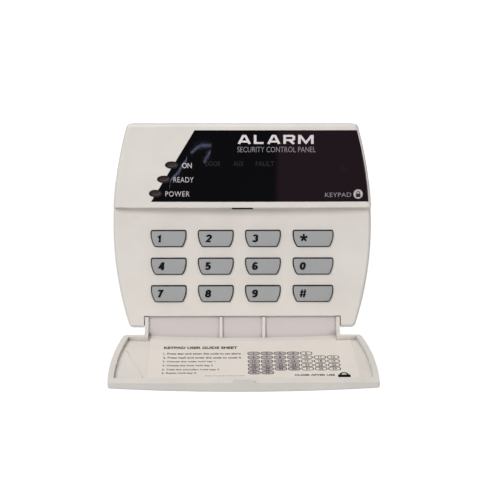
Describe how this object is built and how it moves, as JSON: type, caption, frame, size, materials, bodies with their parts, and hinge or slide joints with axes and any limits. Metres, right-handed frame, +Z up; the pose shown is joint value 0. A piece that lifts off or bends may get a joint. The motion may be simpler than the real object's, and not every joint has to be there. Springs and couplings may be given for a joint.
{
  "type": "alarm keypad panel",
  "caption": "Wall-mounted alarm keypad with a smoked indicator lens, silicone keys and a drop-down door that covers them.",
  "frame": {"origin": "centre of the back face that lies on the wall", "axes": "+X to the right seen from the front, +Y into the wall, +Z up; the keys face -Y"},
  "size_m": [0.1396, 0.0805, 0.1364],
  "materials": {
    "housing_plastic": "fine satin moulding texture, warm off-white",
    "door_plastic": "fine satin moulding texture, warm off-white",
    "smoked_lens": "polished smoked acrylic",
    "printed_film": "matt black print",
    "black_plastic": "matt black moulding",
    "led": "clear epoxy over white body",
    "bezel_plastic": "dark gloss",
    "tinted_window": "brown tinted, polished",
    "mat_rubber": "dark grey silicone",
    "key_rubber": "matt grey silicone",
    "carbon": "conductive carbon",
    "circuit_board": "green solder mask",
    "gold_pad": "gold flash",
    "steel": "zinc plated",
    "chip_epoxy": "black epoxy",
    "terminal_plastic": "green nylon",
    "capacitor_can": "printed aluminium can",
    "ceramic": "black resistor body",
    "can_metal": "bright can",
    "spring_steel": "spring wire",
    "plunger_plastic": "white acetal",
    "label_paper": "printed self-adhesive paper"
  },
  "bodies": {
    "case": {"back_plate": "housing_plastic", "front_housing": "housing_plastic", "display_lens": "smoked_lens", "legend_film": "printed_film", "light_shield": "black_plastic", "zone_leds": "led", "indicator_bezels": "bezel_plastic", "status_leds": "led", "keypad_mat": "mat_rubber", "circuit_board": "circuit_board", "contact_pads": "gold_pad", "key_backlights": "led", "board_screws": "steel", "microcontroller": "chip_epoxy", "driver_chip": "chip_epoxy", "buzzer": "black_plastic", "terminal_block": "terminal_plastic", "terminal_screws": "steel", "capacitors": "capacitor_can", "resistors": "ceramic", "voltage_regulator": "chip_epoxy", "crystal": "can_metal", "pin_header": "black_plastic", "tamper_switch": "black_plastic", "tamper_spring": "spring_steel", "case_screw": "steel", "light_pipe_on": "tinted_window", "light_pipe_ready": "tinted_window", "light_pipe_power": "tinted_window"},
    "door": {"door": "door_plastic", "door_label": "label_paper"},
    "key_1": {"key_1": "key_rubber", "key_1_contact": "carbon"},
    "key_2": {"key_2": "key_rubber", "key_2_contact": "carbon"},
    "key_3": {"key_3": "key_rubber", "key_3_contact": "carbon"},
    "key_star": {"key_star": "key_rubber", "key_star_contact": "carbon"},
    "key_4": {"key_4": "key_rubber", "key_4_contact": "carbon"},
    "key_5": {"key_5": "key_rubber", "key_5_contact": "carbon"},
    "key_6": {"key_6": "key_rubber", "key_6_contact": "carbon"},
    "key_0": {"key_0": "key_rubber", "key_0_contact": "carbon"},
    "key_7": {"key_7": "key_rubber", "key_7_contact": "carbon"},
    "key_8": {"key_8": "key_rubber", "key_8_contact": "carbon"},
    "key_9": {"key_9": "key_rubber", "key_9_contact": "carbon"},
    "key_hash": {"key_hash": "key_rubber", "key_hash_contact": "carbon"},
    "tamper_plunger": {"tamper_plunger": "plunger_plastic"}
  },
  "joints": [
    {"name": "door_hinge", "type": "hinge", "parent": "case", "child": "door", "pos_m": [0, -0.0211, -0.05308], "axis": [-1, 0, 0], "range_deg": [0, 108.5]},
    {"name": "key_1_press", "type": "slide", "parent": "case", "child": "key_1", "axis": [0, 1, 0], "range_m": [0, 0.0011], "stiffness_N_per_m": 300, "springref_m": -0.001},
    {"name": "key_2_press", "type": "slide", "parent": "case", "child": "key_2", "axis": [0, 1, 0], "range_m": [0, 0.0011], "stiffness_N_per_m": 300, "springref_m": -0.001},
    {"name": "key_3_press", "type": "slide", "parent": "case", "child": "key_3", "axis": [0, 1, 0], "range_m": [0, 0.0011], "stiffness_N_per_m": 300, "springref_m": -0.001},
    {"name": "key_star_press", "type": "slide", "parent": "case", "child": "key_star", "axis": [0, 1, 0], "range_m": [0, 0.0011], "stiffness_N_per_m": 300, "springref_m": -0.001},
    {"name": "key_4_press", "type": "slide", "parent": "case", "child": "key_4", "axis": [0, 1, 0], "range_m": [0, 0.0011], "stiffness_N_per_m": 300, "springref_m": -0.001},
    {"name": "key_5_press", "type": "slide", "parent": "case", "child": "key_5", "axis": [0, 1, 0], "range_m": [0, 0.0011], "stiffness_N_per_m": 300, "springref_m": -0.001},
    {"name": "key_6_press", "type": "slide", "parent": "case", "child": "key_6", "axis": [0, 1, 0], "range_m": [0, 0.0011], "stiffness_N_per_m": 300, "springref_m": -0.001},
    {"name": "key_0_press", "type": "slide", "parent": "case", "child": "key_0", "axis": [0, 1, 0], "range_m": [0, 0.0011], "stiffness_N_per_m": 300, "springref_m": -0.001},
    {"name": "key_7_press", "type": "slide", "parent": "case", "child": "key_7", "axis": [0, 1, 0], "range_m": [0, 0.0011], "stiffness_N_per_m": 300, "springref_m": -0.001},
    {"name": "key_8_press", "type": "slide", "parent": "case", "child": "key_8", "axis": [0, 1, 0], "range_m": [0, 0.0011], "stiffness_N_per_m": 300, "springref_m": -0.001},
    {"name": "key_9_press", "type": "slide", "parent": "case", "child": "key_9", "axis": [0, 1, 0], "range_m": [0, 0.0011], "stiffness_N_per_m": 300, "springref_m": -0.001},
    {"name": "key_hash_press", "type": "slide", "parent": "case", "child": "key_hash", "axis": [0, 1, 0], "range_m": [0, 0.0011], "stiffness_N_per_m": 300, "springref_m": -0.001},
    {"name": "tamper_press", "type": "slide", "parent": "case", "child": "tamper_plunger", "axis": [0, -1, 0], "range_m": [0, 0.0015], "stiffness_N_per_m": 200, "springref_m": -0.002, "deforming": ["tamper_spring"]}
  ]
}
